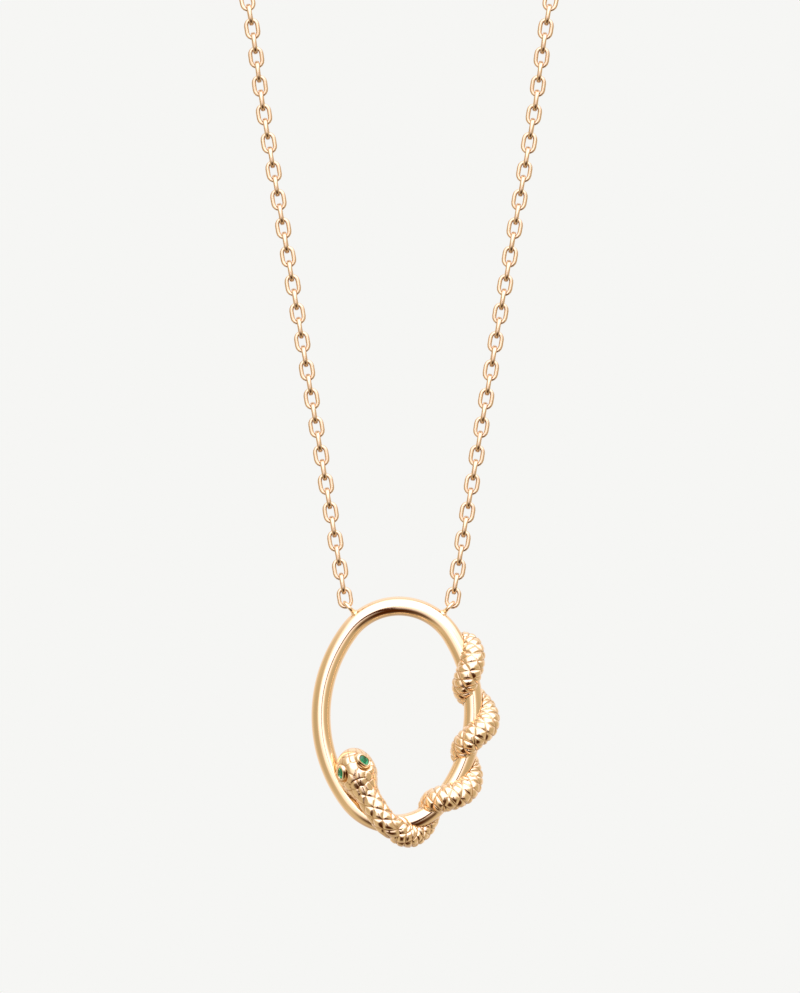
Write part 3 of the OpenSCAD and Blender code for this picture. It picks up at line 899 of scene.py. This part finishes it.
def gold_material(name, colour, rough_lo, rough_hi, bump, crease_shade_share=0.0):
    """Polished gold: the colour drifts a little, the polish varies, soft dents bend what it mirrors, and
    creases take painted shade, towards CREASE_SHADE by the share given."""
    mat = bpy.data.materials.new(name)
    mat.use_nodes = True
    tree = mat.node_tree
    shader = tree.nodes["Principled BSDF"]
    shader.inputs["Metallic"].default_value = 1.0
    link = tree.links.new
    coord = node_of(tree, "ShaderNodeTexCoord", (-1200, 0))
    drift = noise(tree, coord, (-950, 250), *TONE_NOISE)
    tone = mixed(tree, (-600, 250), drift, colour, [c * TONE_DARKER for c in colour])
    # Painted shade: the crease attribute darkens the tone towards CREASE_SHADE
    if crease_shade_share:
        crease = node_of(tree, "ShaderNodeAttribute", (-950, 550))
        crease.attribute_name = "crease"
        depth = node_of(tree, "ShaderNodeMath", (-780, 550))
        depth.operation = "MULTIPLY"
        depth.inputs[1].default_value = crease_shade_share
        link(crease.outputs["Fac"], depth.inputs[0])
        tone = mixed(tree, (-350, 350), depth.outputs[0], tone, CREASE_SHADE)
    link(tone, shader.inputs["Base Color"])
    spread = node_of(tree, "ShaderNodeMapRange", (-600, -50), To_Min=rough_lo, To_Max=rough_hi)
    link(noise(tree, coord, (-950, -50), *POLISH_NOISE), spread.inputs["Value"])
    link(spread.outputs["Result"], shader.inputs["Roughness"])
    dents = node_of(tree, "ShaderNodeBump", (-350, -300), Strength=bump, Distance=DENT_DEPTH_M)
    link(noise(tree, coord, (-950, -350), *DENT_NOISE), dents.inputs["Height"])
    link(dents.outputs["Normal"], shader.inputs["Normal"])
    return mat


def stone_material():
    """Green stone with painted gleam and shade: random patches from dark to light green stand in for facets
    in shade and facets that gleam.
    """
    mat = bpy.data.materials.new("green_stone")
    mat.use_nodes = True
    tree = mat.node_tree
    link = tree.links.new
    shader = tree.nodes["Principled BSDF"]
    shader.inputs["IOR"].default_value = STONE_IOR
    shader.inputs["Roughness"].default_value = STONE_ROUGHNESS
    coord = node_of(tree, "ShaderNodeTexCoord", (-900, 0))
    gleam = node_of(tree, "ShaderNodeTexVoronoi", (-700, 0), Scale=GLEAM_SCALE)
    link(coord.outputs["Object"], gleam.inputs["Vector"])
    ramp = node_of(tree, "ShaderNodeValToRGB", (-450, 0))
    tones = ramp.color_ramp.elements
    tones[0].position = 0.1
    tones[0].color = DARK_GREEN
    tones[1].position = 0.9
    tones[1].color = LIGHT_GREEN
    tones.new(0.6).color = MID_GREEN
    link(gleam.outputs["Color"], ramp.inputs["Fac"])
    link(ramp.outputs["Color"], shader.inputs["Base Color"])
    return mat


def dress(obj, mat):
    obj.data.materials.clear()
    obj.data.materials.append(mat)


# Studio
# Each light or dark patch: azimuth and elevation of its middle, the angles from there to which it is
# full and at which it ends, all in degrees, and its strength. Azimuth 0 is towards the camera, 90 to
# the viewer's right.
TAN = (1.0, 0.84, 0.61)
TAN_ALL_ROUND = 0.72
TAN_LESS = [(-70, -10, 8, 34, -0.12), (70, -18, 8, 34, -0.1)]
WHITE = (0.9, 0.91, 1.3)
WHITE_LIGHTS = [
    (0, 44, 26, 58, 1.3), (-4, 0, 18, 44, 0.7), (66, 44, 14, 36, 0.9), (180, 0, 40, 80, 0.3),
    (0, 90, 30, 70, 0.4),
]
DARK = (0.072, 0.018, 0.0025)
DARK_PATCHES = [
    (9, -56, 5, 46, 1.0), (-19, -50, 8, 22, 0.9), (21, -52, 9, 24, 1.0), (36, -44, 8, 20, 0.9),
    (180, -50, 14, 42, 0.4),
]
# Dark bar: azimuth and elevation of two places on it, the half widths at which it is full and at which
# it ends, and the patch that it is cut off by
BAR_HIGH = (5.5, 12)
BAR_LOW = (6, -30)
BAR_FULL = 3.5
BAR_ENDS = 6
BAR_CUT = (5, -20, 18, 23, 1.0)
BACKGROUND = (0.9216, 0.9216, 0.9047, 1)


def towards(azimuth, elevation):
    a = math.radians(azimuth)
    e = math.radians(elevation)
    return (math.cos(e) * math.sin(a), -math.cos(e) * math.cos(a), math.sin(e))


def studio_light():
    """A soft studio all round: tan light on every side, white light above the camera, from the upper
    right, overhead and behind, and a thin dark bar near the camera over dark patches low down. The
    camera itself sees a plain background."""
    world = bpy.data.worlds.new("studio")
    bpy.context.scene.world = world
    world.use_nodes = True
    tree = world.node_tree
    tree.nodes.clear()
    link = tree.links.new
    coord = tree.nodes.new("ShaderNodeTexCoord")

    def dotted(direction):
        node = tree.nodes.new("ShaderNodeVectorMath")
        node.operation = "DOT_PRODUCT"
        node.inputs[1].default_value = direction
        link(coord.outputs["Generated"], node.inputs[0])
        return node.outputs["Value"]

    def ranged(value, lo, hi, gain):
        node = node_of(tree, "ShaderNodeMapRange", (0, 0), From_Min=lo, From_Max=hi, To_Max=gain)
        node.interpolation_type = "SMOOTHSTEP"
        node.inputs["To Min"].default_value = 0
        link(value, node.inputs["Value"])
        return node.outputs["Result"]

    def lobe(azimuth, elevation, inner, outer, gain):
        lo = math.cos(math.radians(outer))
        hi = math.cos(math.radians(inner))
        return ranged(dotted(towards(azimuth, elevation)), lo, hi, gain)

    def math_node(operation, a, b):
        node = tree.nodes.new("ShaderNodeMath")
        node.operation = operation
        for socket, value in zip(node.inputs, (a, b)):
            if isinstance(value, (int, float)):
                socket.default_value = value
            else:
                link(value, socket)
        return node.outputs[0]

    def lit_by(value, lights):
        for light in lights:
            value = math_node("ADD", value, lobe(*light))
        return value

    def tinted(value, colour):
        node = tree.nodes.new("ShaderNodeVectorMath")
        node.operation = "SCALE"
        node.inputs[0].default_value = colour
        link(value, node.inputs["Scale"])
        return node.outputs["Vector"]

    def added(a, b):
        node = tree.nodes.new("ShaderNodeVectorMath")
        node.operation = "ADD"
        link(a, node.inputs[0])
        link(b, node.inputs[1])
        return node.outputs["Vector"]

    lit = added(tinted(lit_by(TAN_ALL_ROUND, TAN_LESS), TAN), tinted(lit_by(0, WHITE_LIGHTS), WHITE))
    bar_normal = unit(np.cross(towards(*BAR_HIGH), towards(*BAR_LOW)))
    across = math_node("ABSOLUTE", dotted(tuple(bar_normal)), 0)
    line = ranged(across, math.sin(math.radians(BAR_ENDS)), math.sin(math.radians(BAR_FULL)), 1.0)
    dark = math_node("MULTIPLY", line, lobe(*BAR_CUT))
    for patch in DARK_PATCHES:
        dark = math_node("MAXIMUM", dark, lobe(*patch))
    studio = tree.nodes.new("ShaderNodeBackground")
    link(mixed(tree, (0, 0), dark, lit, DARK), studio.inputs["Color"])
    plain = tree.nodes.new("ShaderNodeBackground")
    plain.inputs["Color"].default_value = BACKGROUND
    rays = tree.nodes.new("ShaderNodeLightPath")
    mix = tree.nodes.new("ShaderNodeMixShader")
    link(rays.outputs["Is Camera Ray"], mix.inputs["Fac"])
    link(studio.outputs["Background"], mix.inputs[1])
    link(plain.outputs["Background"], mix.inputs[2])
    out = tree.nodes.new("ShaderNodeOutputWorld")
    link(mix.outputs["Shader"], out.inputs["Surface"])


FLOOR_R_M = 1.5
FLOOR_Z_M = -0.3
FLOOR_COLOUR = (0.82, 0.82, 0.81, 1)
FLOOR_ROUGHNESS = 0.9


def floor():
    """A plain pale floor well below the hanging pendant."""
    n = 96
    a = circle(n)
    points = np.stack([FLOOR_R_M * np.cos(a), FLOOR_R_M * np.sin(a), np.full(n, FLOOR_Z_M)], axis=1)
    mesh = bpy.data.meshes.new("floor")
    mesh.from_pydata(points.tolist(), [], [tuple(range(n))])
    obj = bpy.data.objects.new("floor", mesh)
    bpy.context.scene.collection.objects.link(obj)
    mat = bpy.data.materials.new("pale_floor")
    mat.use_nodes = True
    shader = mat.node_tree.nodes["Principled BSDF"]
    shader.inputs["Base Color"].default_value = FLOOR_COLOUR
    shader.inputs["Roughness"].default_value = FLOOR_ROUGHNESS
    mesh.materials.append(mat)
    obj.visible_glossy = False


# Everything together
yellow_gold = gold_material("yellow_gold", YELLOW, rough_lo=0.07, rough_hi=0.12, bump=0.006)
scale_gold = gold_material("scale_gold", YELLOW, rough_lo=0.08, rough_hi=0.14, bump=0.01, crease_shade_share=0.75)
chain_gold = gold_material("chain_gold", ROSE, rough_lo=0.18, rough_hi=0.3, bump=0.02)
green = stone_material()

dress(ring_piece(), yellow_gold)
dress(snake_piece(), scale_gold)
for side_name, way in (("left", -1), ("right", 1)):
    dress(collar_piece(way, "eye_collar_" + side_name, "eye_setting_" + side_name), yellow_gold)
    dress(gem_piece(way, "eye_gem_" + side_name, "eye_stone_" + side_name), green)
    dress(end_link_piece(way, "first_link_" + side_name, "end_link_" + side_name), chain_gold)
    dress(chain_piece(way, "chain_links_" + side_name, "chain_" + side_name), chain_gold)
dress(clasp_piece(), chain_gold)
studio_light()
floor()
